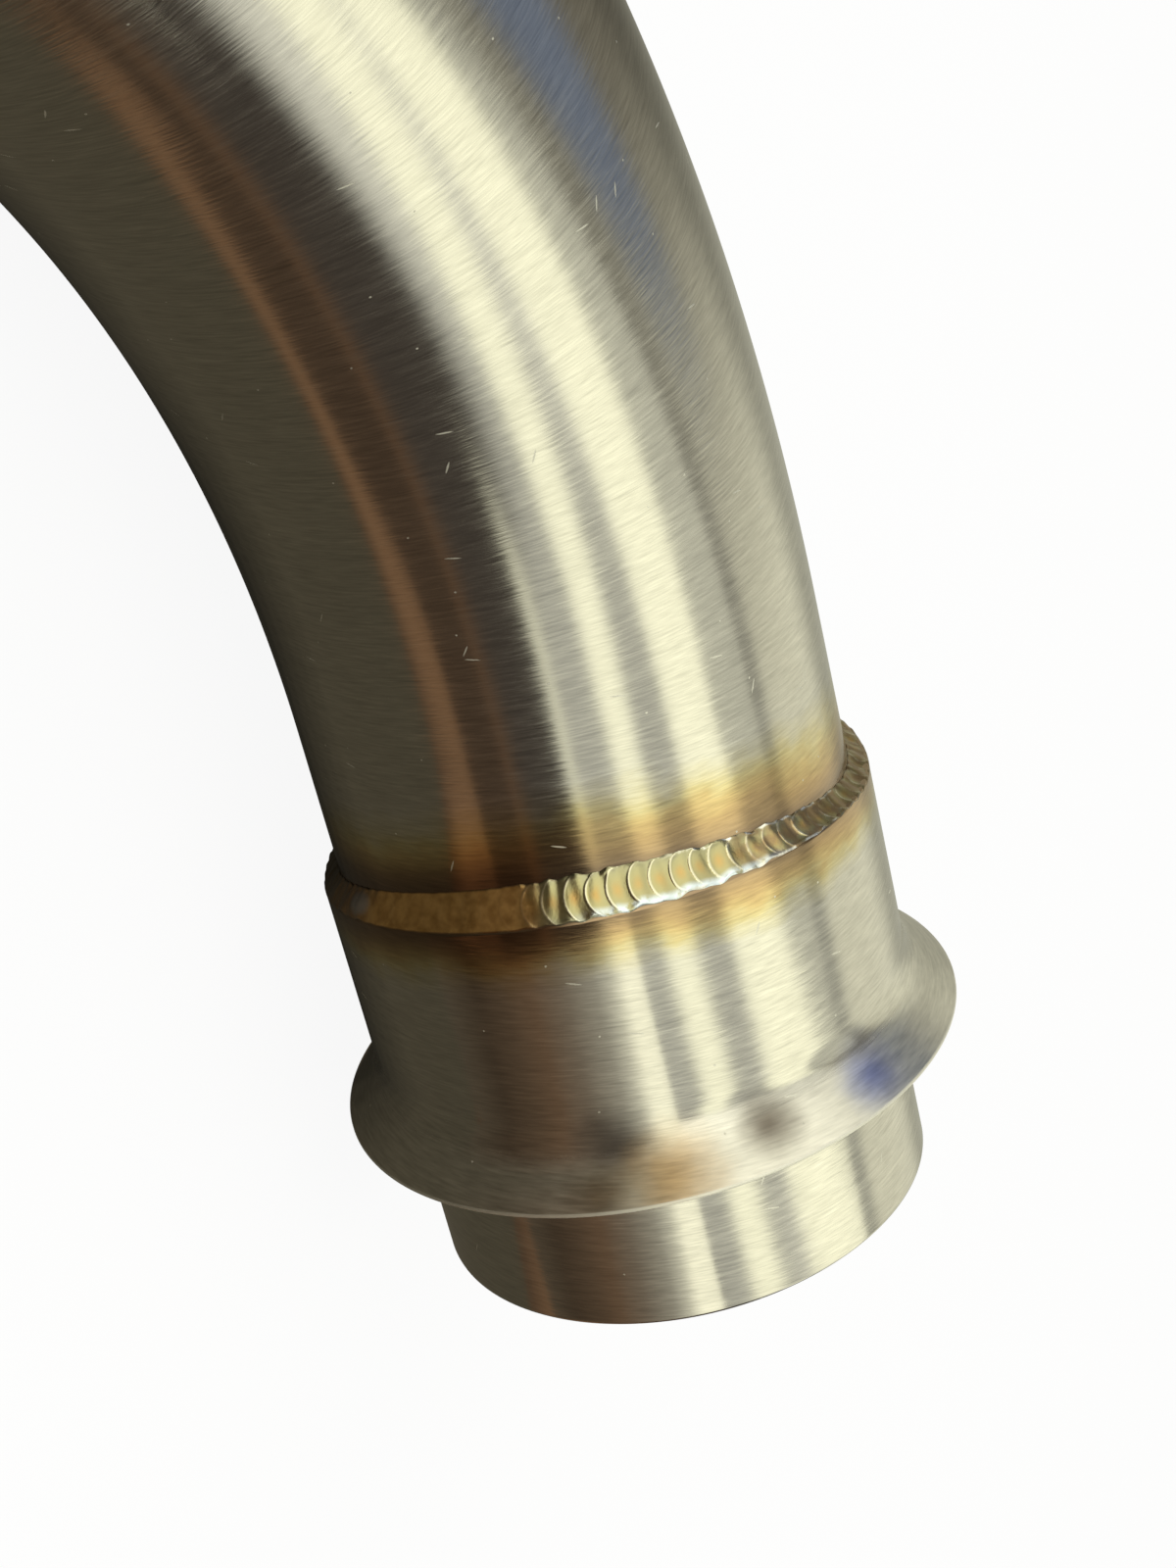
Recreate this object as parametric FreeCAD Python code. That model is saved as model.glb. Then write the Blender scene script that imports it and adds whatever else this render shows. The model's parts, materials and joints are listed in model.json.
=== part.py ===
import FreeCAD, Part
import math
import os

# Motorcycle exhaust link pipe: a bent tube, a flared collar slipped over its end, and the bead of
# frozen ripples that welds the collar's top edge to the tube. Lengths are in millimetres and
# angles in degrees.
#
# The pipe is drawn with the centre of its spigot's end face at the origin, its first straight run
# along +X and its bend towards +Y. It is then tipped about the origin onto the level floor that it
# comes to rest on, with +Z up.

# Bent tube
tube_diameter = 50.8
tube_wall = 1.2
bend_lead = 11.9  # straight tube between the weld and the bend
bend_radius = 112.0
bend_angle = 90.0
last_run = 62.0
edge_break = 0.3

# Spigot: the end of the tube that stands out of the collar, sized down a little to slip into a socket
spigot_length = 17.2
spigot_relief = 0.1
relief_taper = 1.5

# Flared collar
collar_clearance = 0.08
collar_wall = 1.8
collar_length = 27.5
flare_rise = 4.26
flare_angle = 45.0  # from the axis
flare_blend = 4.0
rim_land = 0.3

# Weld bead: a fillet of overlapping ripples, each a crescent with a steep front and a long back
bead_leg = 3.4
bead_crown = 1.0
ripple_pitch = 2.1
ripple_depth = 0.35
ripple_bow = 1.2
ripple_scallop = 0.25
ripple_front = 0.2  # share of the pitch
ripple_spans = 4  # straight spans from toe to toe

# Radii and stations along the first run that several pieces share
tube_outer = tube_diameter / 2
tube_bore = tube_outer - tube_wall
spigot_outer = tube_outer - spigot_relief
collar_bore = tube_outer + collar_clearance
collar_outer = collar_bore + collar_wall
rim_outer = collar_outer + flare_rise
collar_top = spigot_length + collar_length
first_run = collar_top + bead_leg + bend_lead

origin = FreeCAD.Vector(0, 0, 0)
x_axis = FreeCAD.Vector(1, 0, 0)
z_axis = FreeCAD.Vector(0, 0, 1)


# A point of a turned profile: its station along the axis and its radius
def turned_point(station, radius):
    return FreeCAD.Vector(station, radius, 0)


# A solid of revolution about the X axis, from a closed run of edges
def turned_solid(edges):
    return Part.Face(Part.Wire(edges)).revolve(origin, x_axis, 360)


# The straight edges that join each point to the next
def joined_edges(points):
    return [Part.LineSegment(start, end).toShape() for start, end in zip(points, points[1:])]


# The straight edges round a closed run of points
def closed_edges(points):
    return joined_edges(points + points[:1])


# The first straight run, with the sized spigot and its deburred end face
def first_run_solid():
    chamfer = min(edge_break, (spigot_outer - tube_bore) / 3)
    return turned_solid(closed_edges([
        turned_point(0, spigot_outer - chamfer),
        turned_point(chamfer, spigot_outer),
        turned_point(spigot_length, spigot_outer),
        turned_point(spigot_length + relief_taper, tube_outer),
        turned_point(first_run, tube_outer),
        turned_point(first_run, tube_bore),
        turned_point(chamfer, tube_bore),
        turned_point(0, tube_bore + chamfer),
    ]))


# The mandrel bend, swung about the bend's own axis
def bend_solid():
    outer = Part.makeCircle(tube_outer, FreeCAD.Vector(first_run, 0, 0), x_axis)
    inner = Part.makeCircle(tube_bore, FreeCAD.Vector(first_run, 0, 0), x_axis)
    ring = Part.Face([Part.Wire(outer), Part.Wire(inner)])
    return ring.revolve(FreeCAD.Vector(first_run, bend_radius, 0), z_axis, bend_angle)


# The last straight run, drawn from the origin and carried to the end of the bend
def last_run_solid():
    chamfer = min(edge_break, tube_wall / 3)
    run = turned_solid(closed_edges([
        turned_point(0, tube_bore),
        turned_point(0, tube_outer),
        turned_point(last_run - chamfer, tube_outer),
        turned_point(last_run, tube_outer - chamfer),
        turned_point(last_run, tube_bore + chamfer),
        turned_point(last_run - chamfer, tube_bore),
    ]))
    run.Placement = FreeCAD.Placement(bend_point(bend_angle), FreeCAD.Rotation(z_axis, bend_angle))
    return run


# The point of the bend's centre line at an angle from the bend's start
def bend_point(angle):
    turn = math.radians(angle)
    return FreeCAD.Vector(first_run + bend_radius * math.sin(turn), bend_radius * (1 - math.cos(turn)), 0)


def bent_tube():
    return first_run_solid().fuse([bend_solid(), last_run_solid()]).removeSplitter().Solids[0]


# The arc that rounds the corner between two straight stretches, with its two ends
def rounded_corner(before, corner, after, radius):
    back = (before - corner).normalize()
    ahead = (after - corner).normalize()
    half_angle = back.getAngle(ahead) / 2
    setback = radius / math.tan(half_angle)
    inward = (back + ahead).normalize()
    middle = corner + inward * (radius / math.sin(half_angle) - radius)
    start = corner + back * setback
    end = corner + ahead * setback
    return start, Part.Arc(start, middle, end).toShape(), end


# The collar: a plain neck that opens into a conical flare of the same wall, with a flat rim
def flared_collar():
    slope = math.tan(math.radians(flare_angle))
    rim_station = spigot_length
    land_top = turned_point(rim_station + rim_land, rim_outer)
    outer_corner = turned_point(land_top.x + flare_rise / slope, collar_outer)
    top_outer = turned_point(collar_top, collar_outer)
    flare_end, blend, neck_end = rounded_corner(land_top, outer_corner, top_outer, flare_blend)
    mouth_radius = rim_outer + rim_land * slope - collar_wall / math.cos(math.radians(flare_angle))
    mouth_depth = (mouth_radius - collar_bore) / slope
    plain_points = [
        neck_end,
        top_outer,
        turned_point(collar_top, collar_bore),
        turned_point(rim_station + mouth_depth, collar_bore),
        turned_point(rim_station, mouth_radius),
        turned_point(rim_station, rim_outer),
        land_top,
        flare_end,
    ]
    return turned_solid(joined_edges(plain_points) + [blend])


# A point of a turned profile, swung about the X axis
def swung_point(point, turn):
    return FreeCAD.Vector(point.x, point.y * math.cos(turn), point.y * math.sin(turn))


# A flat face inside a ring of points, with a hole inside each further ring
def flat_face(*rings):
    return Part.makeFace([Part.Wire(closed_edges(ring)) for ring in rings], "Part::FaceMakerBullseye")


# One crescent over the bead, from its toe on the collar to its toe on the tube, as points on a
# rounded fillet. It bows back along the seam and pulls in at the toes by the scallop.
def bead_crescent(turn, crown, scallop, tube_side):
    low_toe = turned_point(collar_top, collar_outer - scallop)
    high_toe = turned_point(collar_top + bead_leg - scallop, tube_side)
    width = high_toe - low_toe
    outward = z_axis.cross(width).normalize()
    bow = ripple_bow / collar_outer
    points = []
    for number in range(ripple_spans + 1):
        share = number / ripple_spans
        swell = math.sin(math.pi * share)
        point = low_toe + width * share + outward * (crown * swell)
        points.append(swung_point(point, turn - bow * swell))
    return points


# The bead in the corner between the collar's top edge and the tube. Its crescents are a valley and a
# crest in turn, each joined to the next by ruled strips. Flat facets just outside the tube close its
# inside, and its flat foot sits on the collar's top edge.
def weld_bead():
    count = round(2 * math.pi * collar_outer / ripple_pitch)
    step = 2 * math.pi / count
    widest_facet = step * max(ripple_front, 1 - ripple_front)
    facet_radius = tube_outer / math.cos(widest_facet / 2)
    crescents = []
    roots = []
    for number in range(count):
        valley_turn = number * step
        crest_turn = (number + ripple_front) * step
        crescents.append(bead_crescent(valley_turn, bead_crown - ripple_depth, ripple_scallop, facet_radius))
        crescents.append(bead_crescent(crest_turn, bead_crown, 0, facet_radius))
        for turn in (valley_turn, crest_turn):
            roots.append(swung_point(turned_point(collar_top, facet_radius), turn))

    faces = [flat_face([crescent[0] for crescent in crescents], roots)]
    for here in range(len(crescents)):
        after = (here + 1) % len(crescents)
        spans = zip(joined_edges(crescents[here]), joined_edges(crescents[after]))
        faces += [Part.makeRuledSurface(span, next_span) for span, next_span in spans]
        faces.append(flat_face([crescents[here][-1], crescents[after][-1], roots[after], roots[here]]))
    shell = Part.makeShell(faces)
    shell.sewShape()
    return Part.makeSolid(shell)


# The turn that lays the pipe on a level floor. It comes to rest on the flare's rim and on the outside
# of the bend, at the point in line with the rim and the centre of mass.
def rest_turn(solids):
    volume = sum(solid.Volume for solid in solids)
    balance = sum((solid.CenterOfMass * solid.Volume for solid in solids), origin) / volume
    rim = turned_point(spigot_length, 0)
    swing_centre = FreeCAD.Vector(first_run, bend_radius, 0)
    line = FreeCAD.Vector(balance.x - rim.x, balance.y - rim.y, 0).normalize()
    to_centre = swing_centre - rim
    nearest = to_centre.dot(line)
    offset = to_centre.Length ** 2 - nearest ** 2
    contact = rim + line * (nearest + math.sqrt(bend_radius ** 2 - offset))
    contact_angle = math.degrees(math.atan2(contact.x - swing_centre.x, swing_centre.y - contact.y))
    contact = bend_point(min(max(contact_angle, 0), bend_angle))
    outward = (contact - swing_centre).normalize()
    slope = math.asin((rim_outer - tube_outer) / outward.dot(contact - rim))
    floor_normal = z_axis * math.cos(slope) - outward * math.sin(slope)
    return FreeCAD.Placement(origin, FreeCAD.Rotation(floor_normal, z_axis))


def main():
    pieces = {
        "bent_tube": bent_tube(),
        "flared_collar": flared_collar(),
        "weld_bead": weld_bead(),
    }
    rest = rest_turn(list(pieces.values()))
    os.makedirs("parts", exist_ok=True)
    for name, solid in pieces.items():
        solid.Placement = rest.multiply(solid.Placement)
        solid.exportStep("parts/" + name + ".step")


main()
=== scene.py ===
import bisect
import bpy
import json
import math
import random
from mathutils import Matrix, Vector


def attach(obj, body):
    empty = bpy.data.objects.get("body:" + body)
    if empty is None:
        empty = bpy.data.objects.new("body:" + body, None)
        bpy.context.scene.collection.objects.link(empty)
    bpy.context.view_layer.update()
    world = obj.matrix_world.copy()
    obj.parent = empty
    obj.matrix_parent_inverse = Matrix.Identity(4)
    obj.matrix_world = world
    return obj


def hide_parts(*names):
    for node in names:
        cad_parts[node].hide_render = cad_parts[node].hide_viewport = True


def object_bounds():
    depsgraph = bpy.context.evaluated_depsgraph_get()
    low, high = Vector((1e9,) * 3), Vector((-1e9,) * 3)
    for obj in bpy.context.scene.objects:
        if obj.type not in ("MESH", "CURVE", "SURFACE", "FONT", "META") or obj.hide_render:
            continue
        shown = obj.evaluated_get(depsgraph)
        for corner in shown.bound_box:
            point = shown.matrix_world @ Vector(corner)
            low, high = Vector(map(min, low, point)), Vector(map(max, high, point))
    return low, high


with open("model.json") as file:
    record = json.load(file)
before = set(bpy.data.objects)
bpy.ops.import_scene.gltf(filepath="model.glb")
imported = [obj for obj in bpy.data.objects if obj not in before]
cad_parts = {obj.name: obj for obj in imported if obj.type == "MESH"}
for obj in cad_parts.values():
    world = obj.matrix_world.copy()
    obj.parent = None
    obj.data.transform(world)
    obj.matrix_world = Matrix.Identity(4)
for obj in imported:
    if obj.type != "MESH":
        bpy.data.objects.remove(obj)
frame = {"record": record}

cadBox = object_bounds()
millimetre = 0.001


# The pipe is drawn in its own frame, in millimetres: spigot end at the origin, first run along x,
# bend towards y. The two pin mounts of the record say how that frame is tipped in the model.
def pipeTurn():
    axes = {mount["name"]: Vector(mount["axis"]) for mount in frame["record"]["mounts"]}
    along = -axes["spigot"].normalized()
    across = axes["outlet"] - along * axes["outlet"].dot(along)
    across.normalize()
    return Matrix((along, across, along.cross(across))).transposed()


turn = pipeTurn()
print("pipe frame tipped by", round(math.degrees(turn.col[2].angle((0, 0, 1))), 2), "degrees")


def inModel(point):
    # a point of the pipe's own frame, placed in the model
    return turn @ (Vector(point) * millimetre)


# Shader helpers

class Wire:
    # one node output in a finish; arithmetic on it adds Math nodes
    def __init__(self, finish, socket):
        self.finish = finish
        self.socket = socket

    def sum(self, operation, *values):
        return self.finish.node("ShaderNodeMath", {"operation": operation}, dict(enumerate(values)))

    def __add__(self, other):
        return self.sum("ADD", self, other)

    def __sub__(self, other):
        return self.sum("SUBTRACT", self, other)

    def __rsub__(self, other):
        return self.sum("SUBTRACT", other, self)

    def __mul__(self, other):
        return self.sum("MULTIPLY", self, other)

    def __truediv__(self, other):
        return self.sum("DIVIDE", self, other)

    def __rtruediv__(self, other):
        return self.sum("DIVIDE", other, self)

    def __pow__(self, other):
        return self.sum("POWER", self, other)

    def __abs__(self):
        return self.sum("ABSOLUTE", self)

    def __neg__(self):
        return self.sum("MULTIPLY", self, -1.0)

    __radd__ = __add__
    __rmul__ = __mul__

    def over(self, low, high):
        # 0 below low, 1 above high, smooth between
        return self.finish.node("ShaderNodeMapRange", {"interpolation_type": "SMOOTHSTEP"},
                                {"Value": self, "From Min": low, "From Max": high})

    def under(self, low, high):
        return 1 - self.over(low, high)

    def between(self, rise, fall):
        return self.over(*rise) * self.under(*fall)

    def most(self, other):
        return self.sum("MAXIMUM", self, other)

    def bearing(self, other):
        # the angle in degrees of the direction whose sine is this wire and whose cosine is the other
        return self.sum("ARCTAN2", self, other) * math.degrees(1)

    def ramp(self, stops):
        return self.finish.node("ShaderNodeValToRGB", {"stops": stops}, {"Fac": self})


class Finish:
    def __init__(self, name):
        self.material = bpy.data.materials.new(name)
        self.material.use_nodes = True
        self.tree = self.material.node_tree
        self.tree.nodes.clear()

    def node(self, kind, settings, values, output=0):
        made = self.tree.nodes.new(kind)
        for key, value in settings.items():
            if key == "stops":
                self.setStops(made.color_ramp, value)
            else:
                setattr(made, key, value)
        for key, value in values.items():
            if isinstance(value, Wire):
                self.tree.links.new(value.socket, made.inputs[key])
            else:
                made.inputs[key].default_value = value
        return Wire(self, made.outputs[output]) if len(made.outputs) else None

    def setStops(self, ramp, stops):
        while len(ramp.elements) < len(stops):
            ramp.elements.new(1.0)
        for element, (place, colour) in zip(ramp.elements, stops):
            element.position = place
            element.color = (*colour, 1.0)

    def mix(self, amount, first, second, blend="MIX"):
        first, second = [(*c, 1.0) if isinstance(c, tuple) else c for c in (first, second)]
        return self.node("ShaderNodeMix", {"data_type": "RGBA", "blend_type": blend},
                         {0: amount, 6: first, 7: second}, 2)

    def point(self, x, y, z):
        return self.node("ShaderNodeCombineXYZ", {}, {0: x, 1: y, 2: z})

    def split(self, vector):
        node = self.node("ShaderNodeSeparateXYZ", {}, {0: vector}).socket.node
        return [Wire(self, output) for output in node.outputs]

    def noise(self, vector, scale, detail=2.0, roughness=0.5):
        return self.node("ShaderNodeTexNoise", {},
                         {"Vector": vector, "Scale": scale, "Detail": detail, "Roughness": roughness})

    def attribute(self, name):
        return self.node("ShaderNodeAttribute", {"attribute_name": name}, {}, "Vector")

    def surface(self, shader):
        self.node("ShaderNodeOutputMaterial", {"is_active_output": True}, {"Surface": shader})

    def metal(self, base, roughness, height, distance):
        bump = self.node("ShaderNodeBump", {}, {"Strength": 1.0, "Distance": distance, "Height": height})
        self.surface(self.node("ShaderNodeBsdfPrincipled", {}, {
            "Base Color": base, "Metallic": 1.0, "Roughness": roughness, "Normal": bump}))

    def glow(self, colour):
        colour = colour if isinstance(colour, Wire) else (*colour, 1.0)
        self.surface(self.node("ShaderNodeEmission", {}, {"Color": colour, "Strength": 1.0}))


# Mesh helpers

# A closed profile of (station, radius) points becomes rings about the pipe's centre line, which
# runs straight, round the bend and straight again.
tubeLine = {"firstRun": 60.0, "bendRadius": 112.0, "bendAngle": math.radians(90), "lastRun": 62.0}


def centrePoint(station):
    # the centre line's point at a station, with its sideways direction
    line = tubeLine
    bendLength = line["bendRadius"] * line["bendAngle"]
    angle = min(max((station - line["firstRun"]) / line["bendRadius"], 0.0), line["bendAngle"])
    straight = min(station, line["firstRun"])
    beyond = max(station - line["firstRun"] - bendLength, 0.0)
    ahead = Vector((math.cos(angle), math.sin(angle), 0))
    side = Vector((-math.sin(angle), math.cos(angle), 0))
    x = straight + line["bendRadius"] * math.sin(angle)
    y = line["bendRadius"] * (1 - math.cos(angle))
    return Vector((x, y, 0)) + ahead * beyond, side


def ringMesh(name, profile, segments, shift=None):
    # rings round the line, joined into a closed skin; keeps the straightened place of each vertex
    points, straightened, faces = [], [], []
    for station, radius in profile:
        centre, side = centrePoint(station)
        for step in range(segments):
            turned = 2 * math.pi * step / segments
            outward = side * math.cos(turned) + Vector((0, 0, math.sin(turned)))
            aside = shift(station, math.degrees(turned)) if shift else 0.0
            points.append(centre + outward * radius + Vector((aside, 0, 0)))
            straightened.append((station + aside, radius * math.cos(turned), radius * math.sin(turned)))
    rings = len(profile)
    for ring in range(rings):
        following = (ring + 1) % rings
        for step in range(segments):
            after = (step + 1) % segments
            faces.append((ring * segments + step, ring * segments + after,
                          following * segments + after, following * segments + step))
    return skinObject(name, points, faces, straightened)


def skinObject(name, points, faces, straightened, smoothBelow=32):
    mesh = bpy.data.meshes.new(name)
    mesh.from_pydata([inModel(point) for point in points], [], faces)
    place = mesh.attributes.new("straight", "FLOAT_VECTOR", "POINT")
    place.data.foreach_set("vector", [c for point in straightened for c in point])
    mesh.shade_smooth()
    mesh.set_sharp_from_angle(angle=math.radians(smoothBelow))
    made = bpy.data.objects.new(name, mesh)
    bpy.context.scene.collection.objects.link(made)
    return made


def stations(start, end, pitch):
    count = max(1, round(abs(end - start) / pitch))
    return [start + (end - start) * number / count for number in range(count + 1)]


def roundedCorner(before, corner, after, radius, steps, guard=0.04):
    # the arc that rounds one corner of a profile, with a guard point just outside each end
    corner = Vector(corner)
    back = (Vector(before) - corner).normalized()
    ahead = (Vector(after) - corner).normalized()
    half = back.angle(ahead) / 2
    middle = corner + (back + ahead).normalized() * (radius / math.sin(half))
    setback = radius / math.tan(half)
    start = corner + back * setback - middle
    end = corner + ahead * setback - middle
    arc = [tuple(middle + start.slerp(end, number / steps) * radius) for number in range(steps + 1)]
    guards = [tuple(corner + way * (setback + guard)) for way in (back, ahead)]
    return guards[:1] + arc + guards[1:]


def dress(made, finish, node):
    made.data.materials.append(finish.material)
    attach(made, "root")
    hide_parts(node)
    print(made.name, len(made.data.polygons), "faces")


# Bent tube
tube = {"outer": 25.4, "bore": 24.2, "spigotOuter": 25.3, "spigotLength": 17.2, "taper": 1.5,
        "edge": 0.3, "edgeSteps": 3, "margin": 1.0, "segments": 192,
        "pitch": 1.6, "borePitch": 4.0, "spigotPitch": 2.4}


def tubeProfile():
    t = tube
    end = tubeLine["firstRun"] + tubeLine["bendRadius"] * tubeLine["bendAngle"] + tubeLine["lastRun"]
    first, last = t["margin"], end - t["margin"]
    taperEnd = t["spigotLength"] + t["taper"]
    spigot = [(place, t["spigotOuter"]) for place in stations(first, t["spigotLength"], t["spigotPitch"])]
    outer = [(place, t["outer"]) for place in stations(taperEnd, last, t["pitch"])]
    bore = [(place, t["bore"]) for place in stations(last, first, t["borePitch"])]
    corners = [(0, t["spigotOuter"]), (end, t["outer"]), (end, t["bore"]), (0, t["bore"])]
    rounded = []
    for number, corner in enumerate(corners):
        after = corners[(number + 1) % len(corners)]
        rounded.append(roundedCorner(corners[number - 1], corner, after, t["edge"], t["edgeSteps"]))
    return rounded[0] + spigot + outer + rounded[1] + rounded[2] + bore + rounded[3]


# Flared collar
collar = {"start": 17.2, "top": 44.7, "bore": 25.48, "outer": 27.28, "rim": 31.54, "land": 0.3, "wall": 1.8,
          "flareBlend": 6.0, "rimEdge": 0.12, "topEdge": 0.5, "boreEdge": 0.1, "mouthBlend": 1.0,
          "margin": 1.0, "pitch": 2.0, "segments": 256, "shiftStart": 38.0, "overToe": 0.25}


def collarProfile():
    c = collar
    mouth = c["rim"] + c["land"] - c["wall"] * math.sqrt(2)
    throat = (c["start"] + c["land"] + c["rim"] - c["outer"], c["outer"])
    # each corner of the section, with its rounding and the steps in it
    corners = [
        ((c["start"] + c["land"], c["rim"]), c["rimEdge"], 2),
        (throat, c["flareBlend"], 18),
        ((c["top"], c["outer"]), c["topEdge"], 3),
        ((c["top"], c["bore"]), c["boreEdge"], 2),
        ((c["start"] + mouth - c["bore"], c["bore"]), c["mouthBlend"], 4),
        ((c["start"], mouth), c["rimEdge"], 2),
        ((c["start"], c["rim"]), c["rimEdge"], 2),
    ]
    profile = []
    for number, (corner, radius, steps) in enumerate(corners):
        after = corners[(number + 1) % len(corners)][0]
        profile += roundedCorner(corners[number - 1][0], corner, after, radius, steps)
        if corner == throat:
            neck = stations(profile[-1][0] + c["margin"], c["top"] - c["margin"], c["pitch"])
            profile += [(place, c["outer"]) for place in neck]
    return profile


# Weld bead. Its toes wander along the pipe: the seam is widest where the discs lie.
bead = {
    # each toe's station and radius, its climb at the widest place, and the angles over which that fades
    "lowToe": (43.60, 27.3), "highToe": (44.95, 25.42), "root": (43.6, 25.45),
    "lowRise": 1.55, "highRise": 3.80, "widest": 22.0, "fadeAhead": 83.0, "fadeBack": 110.0,
    # where the seam sags towards the spigot: angle, spread, depth
    "dips": ((-62.0, 26.0, 1.1), (112.0, 24.0, 1.1)),
    # discs along the seam
    "pitch": 2.1, "pitchSpread": 0.2, "closing": 1.4, "depth": 0.085, "bow": 1.55, "front": 0.05,
    "edgeEnd": 0.2, "edgeDrop": 0.55, "discHeights": (0.55, 1.2), "reliefPower": 0.4,
    # how strong they are round the pipe: middles and spreads of the changes, in degrees
    "discStart": (10, 2.5), "steadyStart": (34, 3), "steadySpan": (-90, -27), "faint": 0.12,
    "facing": 20, "softSides": (58, 4), "softLoss": 0.5,
    # the rough stretch after the discs
    "roughStart": (53, 3), "roughCrown": 1.6, "roughRelief": 0.45, "roughLump": 2,
    # waves: how many, fewest and most swings round the seam, size
    "lowWaves": (7, 20, 110, 0.08), "highWaves": (7, 20, 130, 0.09), "lipWaves": (5, 20, 90, 0.4),
    "lumpWaves": (6, 9, 60, 0.03), "phases": 6.28, "waveSizes": (0.4, 1.0),
    # raised lips beside the toes, the crown, and the ball where the seam ends
    "lip": 0.06, "lipMean": 0.5, "lipPlace": 0.06, "lipReach": 0.045, "crown": 0.07, "crownPower": 0.6,
    "ball": (-33.0, 0.5, 0.3), "ballReach": (3.4, 0.33),
    "radius": 27.3, "steps": 2400, "spans": 34, "seed": 7, "smoothBelow": 70,
}


def seamSwell(degrees):
    degrees = (degrees + 180) % 360 - 180
    ahead = (degrees - bead["widest"]) / bead["fadeAhead"]
    behind = (bead["widest"] - degrees) / bead["fadeBack"]
    return math.cos(min(max(ahead, behind), 1.0) * math.pi / 2) ** 2


def seamDip(degrees):
    degrees = (degrees + 180) % 360 - 180
    return sum(depth * math.exp(-((degrees - middle) / spread) ** 2)
               for middle, spread, depth in bead["dips"])


def toeStation(side, degrees):
    return bead[side + "Toe"][0] + bead[side + "Rise"] * seamSwell(degrees) - seamDip(degrees)


def collarShift(station, degrees):
    # the collar's top edge keeps to the bead's lower toe
    c = collar
    share = max(station - c["shiftStart"], 0.0) / (c["top"] - c["shiftStart"])
    return share * (toeStation("low", degrees) + c["overToe"] - c["top"])


def beadEdges(rng):
    # where each disc starts round the seam, in millimetres of arc
    edges = [0.0]
    girth = 2 * math.pi * bead["radius"]
    while edges[-1] < girth - bead["closing"] * bead["pitch"]:
        edges.append(edges[-1] + bead["pitch"] + rng.uniform(-1, 1) * bead["pitchSpread"])
    return edges, girth


def wave(angle, parts):
    # a slow irregular wave round the seam: (count, phase, size) of each part
    return sum(size * math.sin(count * angle + phase) for count, phase, size in parts)


def fade(value, middle, spread):
    return 1 / (1 + math.exp(-(value - middle) / spread))


def rippleStrength(degrees):
    # faint where the torch moved steadily, crisp elsewhere, softer towards the pipe's sides
    back, front = bead["steadySpan"]
    crisp = fade(degrees, *bead["discStart"]) if degrees > back else 1.0
    if degrees < front:
        crisp = max(crisp, fade(-degrees, *bead["steadyStart"]))
    softer = fade(abs(degrees - bead["facing"]), *bead["softSides"])
    return (bead["faint"] + (1 - bead["faint"]) * crisp) * (1 - bead["softLoss"] * softer)


def rippleRelief(part):
    # one disc along the seam: a steep front edge, a thin ridge behind it, then a long flat back
    if part < bead["front"]:
        return part / bead["front"]
    if part < bead["edgeEnd"]:
        return 1 - bead["edgeDrop"] * (part - bead["front"]) / (bead["edgeEnd"] - bead["front"])
    return (1 - bead["edgeDrop"]) * (1 - part) / (1 - bead["edgeEnd"])


def hump(share, middle, reach):
    return math.exp(-((share - middle) / reach) ** 2)


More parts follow.
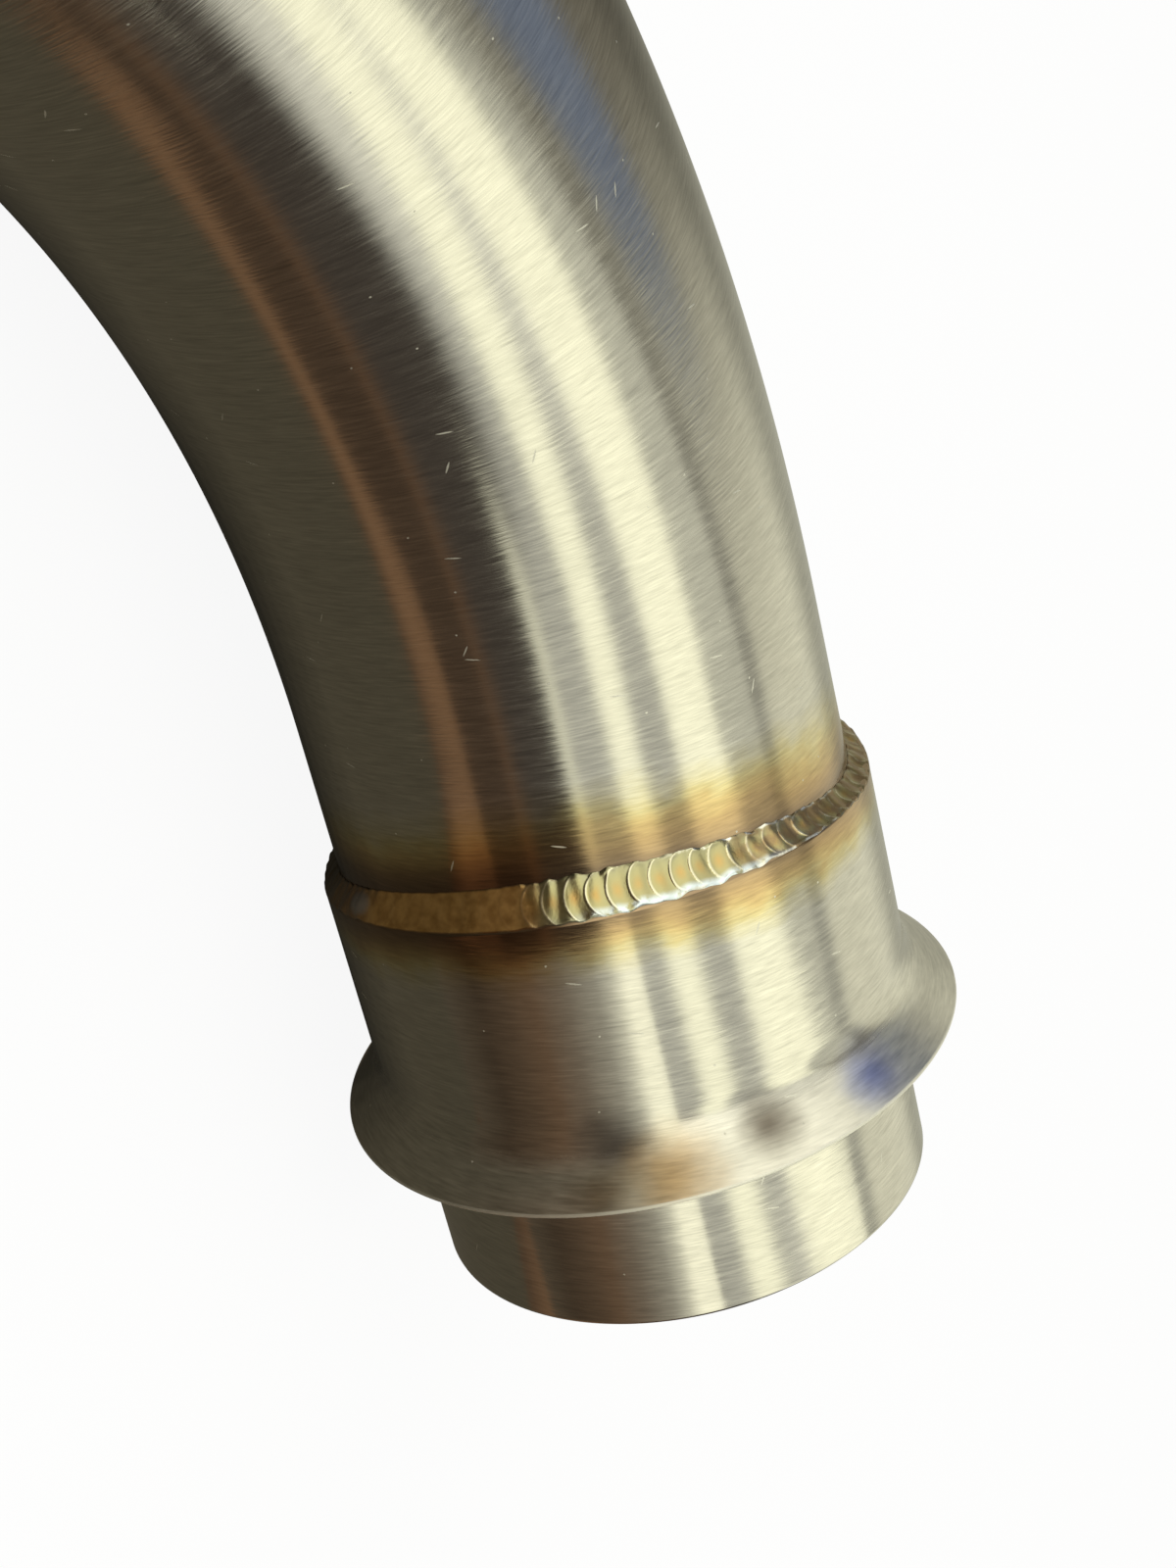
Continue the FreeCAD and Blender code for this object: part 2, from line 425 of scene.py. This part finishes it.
def beadObject():
    b = bead
    rng = random.Random(b["seed"])
    edges, girth = beadEdges(rng)
    heights = [rng.uniform(*b["discHeights"]) for edge in edges]
    tones = [rng.random() for edge in edges]

    def waves(count, low, high, size):
        return [(rng.randint(low, high), rng.uniform(0, b["phases"]), rng.uniform(*b["waveSizes"]) * size)
                for number in range(count)]

    lowParts, highParts = waves(*b["lowWaves"]), waves(*b["highWaves"])
    lowLip, highLip = waves(*b["lipWaves"]), waves(*b["lipWaves"])
    lump = waves(*b["lumpWaves"])
    points, ripples, faces = [], [], []
    rowLength = b["spans"] + 2
    ballAngle, ballShare, ballHeight = b["ball"]
    ballTurn, ballWidth = b["ballReach"]
    for step in range(b["steps"]):
        angle = 2 * math.pi * step / b["steps"]
        degrees = math.degrees(angle)
        degrees = degrees - 360 if degrees > 180 else degrees
        strength = rippleStrength(degrees)
        rough = fade(degrees, *b["roughStart"]) if degrees > 0 else 0.0
        low = Vector((toeStation("low", degrees) - wave(angle, lowParts) * strength, b["lowToe"][1]))
        high = Vector((toeStation("high", degrees) + wave(angle, highParts) * strength, b["highToe"][1]))
        width = high - low
        outward = Vector((-width.y, width.x)).normalized()
        lowLift = b["lip"] * strength * max(b["lipMean"] + wave(angle, lowLip), 0.0)
        highLift = b["lip"] * strength * max(b["lipMean"] + wave(angle, highLip), 0.0)
        crown = b["crown"] * (1 - b["roughCrown"] * rough)
        relief = b["depth"] * strength * (1 - b["roughRelief"] * rough)
        lumps = wave(angle, lump) * (1 + b["roughLump"] * rough)
        for span in range(b["spans"] + 1):
            share = span / b["spans"]
            inside = 0 < span < b["spans"]
            swell = math.sin(math.pi * share) if inside else 0.0
            rounding = math.sqrt(max(1 - (2 * share - 1) ** 2, 0.0))
            place = (angle * b["radius"] + b["bow"] * rounding) % girth
            number = bisect.bisect_right(edges, place) - 1
            ending = edges[number + 1] if number + 1 < len(edges) else girth
            part = (place - edges[number]) / (ending - edges[number])
            height = crown * swell ** b["crownPower"] + lumps * swell
            height += relief * rippleRelief(part) * heights[number] * swell ** b["reliefPower"]
            height += lowLift * hump(share, b["lipPlace"], b["lipReach"])
            height += highLift * hump(share, 1 - b["lipPlace"], b["lipReach"])
            height += ballHeight * hump(degrees, ballAngle, ballTurn) * hump(share, ballShare, ballWidth)
            spot = low + width * share + outward * (height if inside else 0.0)
            points.append((spot.x, spot.y * math.cos(angle), spot.y * math.sin(angle)))
            ripples.append((part, share, tones[number]))
        station, radius = b["root"]
        points.append((station - seamDip(degrees), radius * math.cos(angle), radius * math.sin(angle)))
        ripples.append((0.5, 0.5, 0.5))
    for step in range(b["steps"]):
        here, after = step * rowLength, (step + 1) % b["steps"] * rowLength
        for span in range(rowLength):
            following = (span + 1) % rowLength
            faces.append((here + span, after + span, after + following, here + following))
    made = skinObject("weldBead", points, faces, points, b["smoothBelow"])
    marks = made.data.attributes.new("ripple", "FLOAT_VECTOR", "POINT")
    marks.data.foreach_set("vector", [c for mark in ripples for c in mark])
    return made


# Brushed steel with heat tint beside the weld
steel = {
    "colour": (0.62, 0.60, 0.53), "roughness": 0.15,
    # brushing: scale along the pipe and scale round it, then the height of its grooves
    "lines": (5.5, 0.34), "strokes": (3.0, 0.36), "broad": (0.7, 0.05), "slant": 0.06,
    "brushDetail": 2.0, "brushRoughness": 0.6, "lineBump": 0.004, "strokeBump": 0.011,
    # shares of lines, strokes and broad brushing in the shade and in the roughness
    "shade": (1.5, 0.9, 0.4), "dark": (0.80, 0.80, 0.80), "light": (1.20, 1.20, 1.20),
    "grain": (0.12, 0.10, 0.06),
    # heat tint: the weld's toes, and how cloud, patch and strokes shift the tint's edge
    "weldLow": 43.7, "weldHigh": 44.95, "cloudScale": 0.10, "patchScale": 0.28, "wander": (4.0, 3.0, 1.2),
    "wanderStart": (0.2, 3.0), "ragged": 0.4,
    # soot on the steady side of the seam
    "soot": (0.15, 0.10, 0.07), "sootSpan": ((-80, -50), (4, 20)), "sootReach": (0.5, 4.5), "sootAmount": 0.75,
    # small marks: length along, length round, lean, size, share of the cells
    "girth": 25.4, "flecks": ((7.0, 7.0, 0.0, 0.018, 0.35), (26.0, 3.0, 0.55, 0.035, 0.12),
                              (2.6, 22.0, 0.3, 0.04, 0.12)),
    "bareAndHighlight": (0.80, 0.79, 0.72), "fleckBare": 0.7, "fleckRough": 0.4,
    # the rim's painted highlight, a paler and rougher band, and the satin cone of the flare, by radius
    "rim": (31.4, 31.5), "rimHighlightPaint": 0.8, "rimRough": 0.25, "cone": (27.35, 28.3), "coneRough": 0.18,
}
# tint by distance from the weld's toes, as a share of the tint's reach
tintStops = [
    (0.00, (0.31, 0.225, 0.15)),
    (0.08, (0.42, 0.30, 0.175)),
    (0.20, (0.48, 0.34, 0.18)),
    (0.30, (0.53, 0.39, 0.195)),
    (0.42, (0.58, 0.45, 0.225)),
    (0.54, (0.61, 0.53, 0.30)),
    (0.70, (0.62, 0.58, 0.44)),
    (0.92, steel["colour"]),
]
# painted reflections on the flare: station, angle round the pipe, radius of the surface there, reach, colour,
# amount
flareReflections = [
    (20.5, 45.8, 28.6, 4.4, (0.13, 0.11, 0.09), 0.95),
    (22.0, 16.5, 27.4, 5.4, (0.10, 0.08, 0.07), 0.85),
    (19.7, 69.4, 29.3, 5.0, (0.22, 0.26, 0.52), 0.85),
    (19.0, 26.0, 30.0, 7.0, (0.48, 0.32, 0.15), 0.85),
    (18.6, 12.5, 30.4, 4.6, (0.28, 0.20, 0.125), 0.80),
]
tubeTintReach = 9.5
collarTintReach = 7.0


def brushedSteel(name, tintReach, paintedReflections=()):
    s = steel
    finish = Finish(name)
    straight = finish.attribute("straight")
    along, across, up = finish.split(straight)
    slanted = along + up * s["slant"]
    degrees = up.bearing(across)
    radius = (across * across + up * up) ** 0.5

    def brushed(lengthScale, roundScale):
        place = finish.point(slanted * lengthScale, across * roundScale, up * roundScale)
        return finish.noise(place, 1.0, s["brushDetail"], s["brushRoughness"])

    def shares(amounts, *parts):
        # each noise about its middle, times its share
        return sum((part - 0.5) * amount for amount, part in zip(amounts, parts))

    lines, strokes, broad = brushed(*s["lines"]), brushed(*s["strokes"]), brushed(*s["broad"])
    cloud = finish.noise(straight, s["cloudScale"], 3.0)
    patch = finish.noise(straight, s["patchScale"], 2.0)

    # heat tint, outward from the seam's toes
    swing = degrees - bead["widest"]
    swollen = swing.under(0, bead["fadeAhead"]) * (-swing).under(0, bead["fadeBack"])
    above = along - (swollen * bead["highRise"] + s["weldHigh"])
    below = s["weldLow"] + swollen * bead["lowRise"] - along
    distance = above.most(below)
    wander = shares(s["wander"], cloud, patch, strokes)
    tint = ((distance + wander * distance.over(*s["wanderStart"])) / tintReach).ramp(tintStops)
    sooty = degrees.between(*s["sootSpan"]) * distance.under(*s["sootReach"])
    tint = finish.mix(sooty * s["sootAmount"], tint, s["soot"])
    # painted reflections: patches of colour on the flare stand in for what its surface mirrors
    for station, turned, out, reach, colour, amount in paintedReflections:
        place = (station, out * math.cos(math.radians(turned)), out * math.sin(math.radians(turned)))
        apart = finish.node("ShaderNodeVectorMath", {"operation": "DISTANCE"}, {0: straight, 1: place}, "Value")
        apart = apart + (patch - 0.5) * (reach * s["ragged"])
        tint = finish.mix(apart.under(0.0, reach) * amount, tint, colour)
    girth = degrees * (math.radians(1) * s["girth"])

    def flecks(long, wide, lean, size, share):
        # sparse little marks: one per cell of a leaning grid, on a share of the cells
        place = finish.point((along + girth * lean) / long, (girth - along * lean) / wide, 0.0)
        spot = finish.node("ShaderNodeTexVoronoi", {"voronoi_dimensions": "2D"}, {"Vector": place, "Scale": 1.0})
        chance = finish.split(Wire(finish, spot.socket.node.outputs["Color"]))[0]
        return spot.under(size * 0.6, size) * chance.over(1 - share, 1.001 - share)

    marked = sum(flecks(*mark) for mark in s["flecks"])
    # painted highlight: a paler colour on the rim's outer edge stands in for the light it catches
    rimHighlight = radius.over(*s["rim"])
    shade = shares(s["shade"], lines, strokes, broad) + 0.5
    base = finish.mix(1.0, tint, finish.mix(shade, s["dark"], s["light"]), "MULTIPLY")
    base = finish.mix(rimHighlight * s["rimHighlightPaint"] + marked * s["fleckBare"], base, s["bareAndHighlight"])
    roughness = shares(s["grain"], lines, strokes, broad) + s["roughness"]
    roughness = roughness + rimHighlight * s["rimRough"] + marked * s["fleckRough"]
    roughness = roughness + radius.over(*s["cone"]) * s["coneRough"]
    finish.metal(base, roughness, lines * s["lineBump"] + strokes * s["strokeBump"], millimetre)
    return finish


# Weld metal. Spans are in degrees round the pipe: where each change rises and where it falls.
weld = {
    "mottleScale": 0.9, "roughness": 0.22, "mottleRough": 0.2, "burntRough": 0.10,
    "fineScale": 4.0, "bump": 0.012,
    # each disc from its middle out, its dull share and the highlight painted on its edge
    "disc": [(0.00, (0.54, 0.34, 0.11)), (0.16, (0.49, 0.355, 0.135)), (0.32, (0.44, 0.385, 0.185)),
             (0.50, (0.41, 0.38, 0.20)), (0.75, (0.34, 0.325, 0.215))],
    "discMiddle": 0.55, "discMottle": 0.25, "dull": (0.38, 0.36, 0.205), "dullShare": 0.35,
    "edge": (0.80, 0.75, 0.54), "highlightSpan": (0.10, 0.18), "highlightAmount": 0.8,
    # the smooth stretch of the seam, and the rough one that follows the discs
    "steadySpan": ((-60, -40), (8, 16)), "brown": ((0.64, 0.36, 0.12), (0.98, 0.60, 0.23)),
    "burntShadeStart": (48, 60), "burntAndShade": (0.34, 0.24, 0.13),
    # the pale lower edge, and torn bright metal at both toes
    "paleSpan": ((18, 28), (56, 66)), "pale": (0.70, 0.78, 0.82),
    "tornSpan": ((36, 50), (82, 96)), "tornScale": 0.75, "torn": (0.92, 0.90, 0.80),
    # dark toes, painted shade on the seam's down-turned end, and a painted reflection in its ball
    "toeEnd": (14, 24), "toe": (0.14, 0.09, 0.06), "toeAmount": 0.7,
    "duskSpan": ((-110, -90), (-36, -24)), "dusk": (0.24, 0.18, 0.14), "shadedEndAmount": 0.75,
    "ball": (0.50, 0.50, 0.53), "ballReach": (4.5, 0.4), "ballReflectionAmount": 0.7,
}


def weldMetal():
    w = weld
    finish = Finish("weldMetal")
    part, share, tone = finish.split(finish.attribute("ripple"))
    straight = finish.attribute("straight")
    along, across, up = finish.split(straight)
    degrees = up.bearing(across)
    mottle = finish.noise(straight, w["mottleScale"], 4.0)
    torn = finish.noise(straight, w["tornScale"], 3.0)
    fromMiddle, fromCentre = part - w["discMiddle"], share - 0.5
    centre = (fromMiddle * fromMiddle + fromCentre * fromCentre * 2.0) ** 0.5
    disc = (centre + (mottle - 0.5) * w["discMottle"]).ramp(w["disc"])
    base = finish.mix(tone * w["dullShare"], disc, w["dull"])
    # painted highlight: a pale colour along each disc's front edge stands in for the light its lip catches
    base = finish.mix(part.under(*w["highlightSpan"]) * w["highlightAmount"], base, w["edge"])
    brown = finish.mix(mottle.over(0.3, 0.7), *w["brown"])
    base = finish.mix(degrees.between(*w["steadySpan"]) * 0.95, base, brown)
    # darker brown past the discs: partly burnt metal, partly painted shade where the seam lies below the lip
    burntAndShade = degrees.over(*w["burntShadeStart"])
    base = finish.mix(burntAndShade * mottle.over(0.30, 0.62), base, w["burntAndShade"])
    pale = share.under(0.06, 0.26) * degrees.between(*w["paleSpan"]) * mottle.over(0.34, 0.54)
    base = finish.mix(pale, base, w["pale"])
    middle = 1 - abs(fromCentre) * 2
    ragged = middle.under(0.06, 0.20) * degrees.between(*w["tornSpan"])
    base = finish.mix(ragged * torn.over(0.47, 0.56), base, w["torn"])
    toe = middle.under(0.02, 0.10) * degrees.under(*w["toeEnd"])
    base = finish.mix(toe * w["toeAmount"], base, w["toe"])
    # painted shade: the seam's end that turns towards the floor is darkened
    base = finish.mix(degrees.between(*w["duskSpan"]) * w["shadedEndAmount"], base, w["dusk"])
    ballAngle, ballShare = bead["ball"][:2]
    ballTurn, ballWidth = w["ballReach"]
    # painted reflection: a pale grey spot where the seam ends stands in for a bright thing mirrored in its round
    # ball
    ball = ((degrees - ballAngle) / ballTurn) ** 2 + ((share - ballShare) / ballWidth) ** 2
    base = finish.mix(ball.under(0.2, 1.2) * w["ballReflectionAmount"], base, w["ball"])
    roughness = w["roughness"] + (mottle - 0.5) * w["mottleRough"] + burntAndShade * w["burntRough"]
    finish.metal(base, roughness, finish.noise(straight, w["fineScale"], 4.0), w["bump"] * millimetre)
    return finish


tubeSkin = ringMesh("bentTube", tubeProfile(), tube["segments"])
dress(tubeSkin, brushedSteel("brushedTube", tubeTintReach), "bent_tube")
collarSkin = ringMesh("flaredCollar", collarProfile(), collar["segments"], collarShift)
dress(collarSkin, brushedSteel("brushedCollar", collarTintReach, flareReflections), "flared_collar")
dress(beadObject(), weldMetal(), "weld_bead")


# Stage: a pale floor, a tent of soft panels that only the metal and the floor see, and cards on and
# above the floor that only the metal sees
stage = {"floor": (0.90, 0.91, 0.98), "floorWhite": 0.92, "floorRadius": 1.4, "matRadius": 1.6,
         "mat": (0.073, 0.048, 0.032), "olive": (0.086, 0.075, 0.053), "shade": (0.022, 0.020, 0.015),
         "strip": (0.25, 0.142, 0.078), "front": (0.125, 0.105, 0.075), "horizon": (0.16, 0.090, 0.050)}
floorLevel = cadBox[0].z


def stageMesh(name, points, faces, finish):
    mesh = bpy.data.meshes.new(name)
    mesh.from_pydata(points, [], faces)
    mesh.materials.append(finish.material)
    made = bpy.data.objects.new(name, mesh)
    bpy.context.scene.collection.objects.link(made)
    return made


def hideFrom(made, *rays):
    for ray in rays:
        setattr(made, "visible_" + ray, False)


def glowFinish(name, colour):
    finish = Finish(name)
    finish.glow(colour)
    return finish


def metalCard(name, points, faces, finish):
    # a card that only the metal sees
    hideFrom(stageMesh(name, points, faces, finish), "camera", "diffuse", "shadow", "transmission")


# Floor
def floorFinish():
    # a pale floor that the camera and the metal see as nearly white, with the pipe's soft shadow on it
    finish = Finish("paleFloor")
    plain = finish.node("ShaderNodeBsdfDiffuse", {}, {"Color": (*stage["floor"], 1.0)})
    white = finish.node("ShaderNodeEmission", {}, {"Color": (1.0, 1.0, 1.0, 1.0), "Strength": 1.0})
    rays = finish.node("ShaderNodeLightPath", {}, {}, "Is Camera Ray").socket.node.outputs
    seen = sum(Wire(finish, rays[name]) for name in ("Is Camera Ray", "Is Glossy Ray", "Is Transmission Ray"))
    finish.surface(finish.node("ShaderNodeMixShader", {}, {0: seen * stage["floorWhite"], 1: plain, 2: white}))
    return finish


def ringDisc(radius, level, steps=64):
    turns = [2 * math.pi * step / steps for step in range(steps)]
    points = [(radius * math.cos(angle), radius * math.sin(angle), level) for angle in turns]
    return points, [tuple(range(steps))]


stageMesh("floor", *ringDisc(stage["floorRadius"], floorLevel), floorFinish())


# Tent. Heights and swings are degrees up from the horizon and round from the panels' middle.
tent = {
    "radius": 1.5, "centre": (80, 25, 0), "rows": 24, "steps": 48, "lowest": -4,
    "facing": 150, "courseStart": 33, "cream": (1.50, 1.50, 1.20), "dusk": (0.066, 0.055, 0.047),
    "duskSpan": (-2, 6),
    # grey cloth over a dark band whose upper edge bulges
    "cloth": (1.0, 1.0, 0.90), "clothLevel": 0.60, "clothLift": 0.35, "liftSpan": (25, 60),
    "shelf": 21, "shelfBulge": 6, "bulgeCourse": 32, "shelfEdge": (-4, 7),
    # three bright panels: height, fall along their course, soft edge
    "main": 45, "mainFall": 0.10, "mainEdge": (2.5, 8.0),
    "upper": 68, "upperFall": 0.31, "upperEdge": (-3, 3),
    "thin": 23.5, "thinEdge": (0.5, 3.5), "thinSpan": (12, 28), "thinLevel": 0.65,
    # plain cloth behind, brighter cloth at the sides and a dim stretch
    "behind": ((0.30, 0.28, 0.22), (0.70, 0.70, 0.60)), "behindSpan": (15, 60),
    "frontEnd": (55, 69), "frontLean": 1.6, "leanHeight": 51,
    "sideEnds": ((-62, -42), (155, 165)),
    "beside": ((0, stage["horizon"]), (5, (0.18, 0.14, 0.10)), (11, (0.70, 0.66, 0.55)),
               (19, (1.55, 1.53, 1.30)), (42, (1.65, 1.64, 1.42)), (62, (1.2, 1.19, 1.04)),
               (89, (0.9, 0.9, 0.80))),
    "dim": (0.27, 0.25, 0.19), "dimSpan": ((96, 126), (138, 172)), "dimAmount": 0.8,
}


def tentFinish():
    # soft panels on the side that the camera's view of the pipe mirrors, and plain cloth on the rest
    t = tent
    finish = Finish("softTent")
    place = finish.node("ShaderNodeTexCoord", {}, {}, "Object")
    x, y, z = finish.split(finish.node("ShaderNodeVectorMath", {"operation": "NORMALIZE"}, {0: place}))
    toFront, toSide = math.cos(math.radians(t["facing"])), math.sin(math.radians(t["facing"]))
    height = z.sum("ARCSINE", z) * math.degrees(1)
    swing = (y * toFront - x * toSide).bearing(x * toFront + y * toSide)
    course = swing + t["courseStart"]

    bulge = abs(course - t["bulgeCourse"]).under(0, t["bulgeCourse"]) * t["shelfBulge"]
    shelf = (height - (t["shelf"] + bulge)).over(*t["shelfEdge"])
    mainPanel = abs(height - (t["main"] - course * t["mainFall"])).under(*t["mainEdge"])
    upperPanel = (height - (t["upper"] - course * t["upperFall"])).over(*t["upperEdge"])
    thinPanel = abs(height - t["thin"]).under(*t["thinEdge"]) * course.under(*t["thinSpan"]) * t["thinLevel"]
    level = t["clothLevel"] + course.over(*t["liftSpan"]) * t["clothLift"]
    grey = finish.mix(level, (0.0, 0.0, 0.0), t["cloth"])
    dark = finish.mix(height.over(*t["duskSpan"]), stage["horizon"], t["dusk"])
    bright = mainPanel.most(upperPanel.most(thinPanel))
    front = finish.mix(bright, finish.mix(shelf, dark, grey), t["cream"])

    behind = finish.mix(height.over(*t["behindSpan"]), *t["behind"])
    leaning = swing + (height - t["leanHeight"]) * t["frontLean"]
    colour = finish.mix(leaning.under(*t["frontEnd"]), behind, front)
    beside = (height / 90).ramp([(lift / 90, tone) for lift, tone in t["beside"]])
    low, high = t["sideEnds"]
    colour = finish.mix(swing.under(*low) + swing.over(*high), colour, beside)
    colour = finish.mix(swing.between(*t["dimSpan"]) * t["dimAmount"], colour, t["dim"])
    finish.glow(colour)
    return finish


def tentDome():
    rows, steps, radius = tent["rows"], tent["steps"], tent["radius"]
    points, faces = [], []
    for row in range(rows):
        lift = math.radians(tent["lowest"] + (90 - tent["lowest"]) * row / rows)
        for step in range(steps):
            angle = 2 * math.pi * step / steps
            reach = radius * math.cos(lift)
            points.append((reach * math.cos(angle), reach * math.sin(angle), radius * math.sin(lift)))
    points.append((0, 0, radius))
    for row in range(rows):
        for step in range(steps):
            after = (step + 1) % steps
            if row == rows - 1:
                faces.append((row * steps + step, row * steps + after, len(points) - 1))
            else:
                faces.append((row * steps + step, row * steps + after,
                              (row + 1) * steps + after, (row + 1) * steps + step))
    return points, faces


softTent = stageMesh("softTent", *tentDome(), tentFinish())
softTent.location = inModel(tent["centre"])
hideFrom(softTent, "camera", "shadow")


# Cards on the floor, drawn under the pipe in its own frame, each a hair above the one before
floorCards = {
    "under": -32, "step": 0.25, "layers": 5,
    "warmLine": [(-170, 20), (-46, 48), (0, 61), (16, 68), (24, 79), (21, 95), (10, 122)],
    "warmWidths": [50, 20, 17, 16, 15, 16, 20], "warmWidest": 2.5, "warmNarrowing": 1.7,
    "pipeLine": [(0, 0), (60, 0), (103, 9), (139, 33), (163, 69), (172, 112), (172, 174)],
    "shadeWidth": 46, "shadeNarrowing": 6,
    "olive": [(-170, 26), (-46, 46), (0, 60), (16, 68), (23, 80), (24, 104), (60, 190), (260, 260),
              (260, -120), (-170, -120)],
    "front": [(50, 75), (44, 130), (60, 420), (420, 420), (300, 90), (90, 60)],
}


def cardLevel(number):
    return floorLevel + floorCards["step"] * number * millimetre


def floorPlaces(line):
    return [inModel((x, y, floorCards["under"])) for x, y in line]


def floorOutline(corners, level):
    places = floorPlaces(corners)
    return [(place.x, place.y, level) for place in places], [tuple(range(len(places)))]


def floorStrip(line, widths, level):
    points, faces = [], []
    places = floorPlaces(line)
    for number, place in enumerate(places):
        ahead = places[min(number + 1, len(places) - 1)] - places[max(number - 1, 0)]
        aside = Vector((-ahead.y, ahead.x, 0)).normalized() * (widths[number] / 2 * millimetre)
        for spot in (place - aside, place + aside):
            points.append((spot.x, spot.y, level))
        if number:
            base = 2 * number
            faces.append((base - 2, base, base + 1, base - 1))
    return points, faces


def floorCard(name, shape, colour):
    metalCard(name, *shape, glowFinish(name, colour))


def blend(first, second, share):
    return [start + (end - start) * share for start, end in zip(first, second)]


def layFloorCards():
    f = floorCards
    floorCard("darkMat", ringDisc(stage["matRadius"], cardLevel(1)), stage["mat"])
    floorCard("oliveCard", floorOutline(f["olive"], cardLevel(2)), stage["olive"])
    floorCard("frontCard", floorOutline(f["front"], cardLevel(3)), stage["front"])
    for layer in range(f["layers"]):
        share = (layer + 1) / f["layers"]
        level = cardLevel(4 + layer)
        widths = [f["shadeWidth"] - f["shadeNarrowing"] * layer] * len(f["pipeLine"])
        shade = blend(stage["olive"], stage["shade"], share)
        floorCard("shadeCard", floorStrip(f["pipeLine"], widths, level), shade)
        widths = [width * (f["warmWidest"] - share * f["warmNarrowing"]) for width in f["warmWidths"]]
        warm = blend(stage["mat"], stage["strip"], share)
        floorCard("warmStrip", floorStrip(f["warmLine"], widths, level), warm)


layFloorCards()


# Standing cards: x from and to, y, z from and to, in the pipe's own frame
def standingCard(name, place, finish):
    left, right, y, low, high = place
    corners = [(left, y, low), (right, y, low), (right, y, high), (left, y, high)]
    metalCard(name, [inModel(corner) for corner in corners], [(0, 1, 2, 3)], finish)


sideFlag = {
    "place": (-280, 300, -90, -31, 296), "lean": 0.45, "leanHeight": 80,
    "pale": (0.90, 0.89, 0.73), "high": (0.47, 0.47, 0.41), "highSpan": (180, 235),
    "dim": (0.19, 0.175, 0.14), "dimSpan": (18, 108),
    "blue": (0.19, 0.23, 0.325), "blueSpan": (58, 96), "blueHeights": ((86, 128), (165, 240)),
    "footSpan": (30, 75), "footShade": 0.5,
}


def sideFinish():
    # a flag behind the bend: bright by the collar, dim and bluish higher up
    f = sideFlag
    finish = Finish("sideFlag")
    x, y, z = finish.split(finish.node("ShaderNodeTexCoord", {}, {}, "Object"))
    up = z / millimetre
    along = x / millimetre + (up - f["leanHeight"]) * f["lean"]
    tone = finish.mix(up.over(*f["highSpan"]), f["pale"], f["high"])
    tone = finish.mix(along.over(*f["dimSpan"]), tone, f["dim"])
    tone = finish.mix(along.over(*f["blueSpan"]) * up.between(*f["blueHeights"]), tone, f["blue"])
    foot = finish.mix(f["footShade"], tone, (0.0, 0.0, 0.0))
    finish.glow(finish.mix(up.over(*f["footSpan"]), foot, tone))
    return finish


# the low card's tones run from its foot to its top, and its back is as dark as the mat
nearCard = {
    "place": (-25, 34, 43, -29, 25), "back": (-25, 34, 44, -29, 25),
    "tones": [(0.00, (0.10, 0.080, 0.058)), (0.13, (0.085, 0.065, 0.045)), (0.26, (0.065, 0.045, 0.030)),
              (0.40, (0.105, 0.070, 0.045)), (0.52, (0.16, 0.10, 0.062)), (0.64, (0.21, 0.17, 0.13)),
              (0.77, (0.39, 0.37, 0.31)), (0.84, (0.75, 0.74, 0.62)), (0.90, (1.45, 1.44, 1.18))],
}


def nearFinish():
    finish = Finish("nearCard")
    x, y, z = finish.split(finish.node("ShaderNodeTexCoord", {}, {}, "Object"))
    low, high = nearCard["place"][3:]
    finish.glow(((z / millimetre - low) / (high - low)).ramp(nearCard["tones"]))
    return finish


standingCard("sideFlag", sideFlag["place"], sideFinish())
standingCard("nearCard", nearCard["place"], nearFinish())
standingCard("nearBack", nearCard["back"], glowFinish("nearBack", stage["mat"]))

world = bpy.data.worlds.new("paleStudio")
world.use_nodes = True
world.node_tree.nodes["Background"].inputs["Color"].default_value = (1.0, 1.0, 1.0, 1.0)
world.node_tree.nodes["Background"].inputs["Strength"].default_value = 1.0
bpy.context.scene.world = world
bpy.context.scene.view_settings.view_transform = "Standard"
print("stage set")


# Camera at the photograph's place, in the pipe's frame
view = {"place": (141.82611, 193.40469, 103.39506), "ahead": (-0.40083, -0.80819, -0.43146),
        "right": (-0.2234, -0.37051, 0.90156), "focalPixels": 2500.0, "longSide": 1600.0, "sensor": 36.0,
        "clipStart": 0.01, "clipEnd": 20.0}


def photoCamera():
    data = bpy.data.cameras.new("photoCamera")
    data.sensor_width = view["sensor"]
    data.lens = view["focalPixels"] / view["longSide"] * view["sensor"]
    data.clip_start = view["clipStart"]
    data.clip_end = view["clipEnd"]
    made = bpy.data.objects.new("photoCamera", data)
    bpy.context.scene.collection.objects.link(made)
    back = -(turn @ Vector(view["ahead"])).normalized()
    right = turn @ Vector(view["right"])
    right = (right - back * right.dot(back)).normalized()
    place = Matrix((right, back.cross(right), back)).transposed().to_4x4()
    place.translation = inModel(view["place"])
    made.matrix_world = place
    return made


bpy.context.scene.camera = photoCamera()
print("camera set")
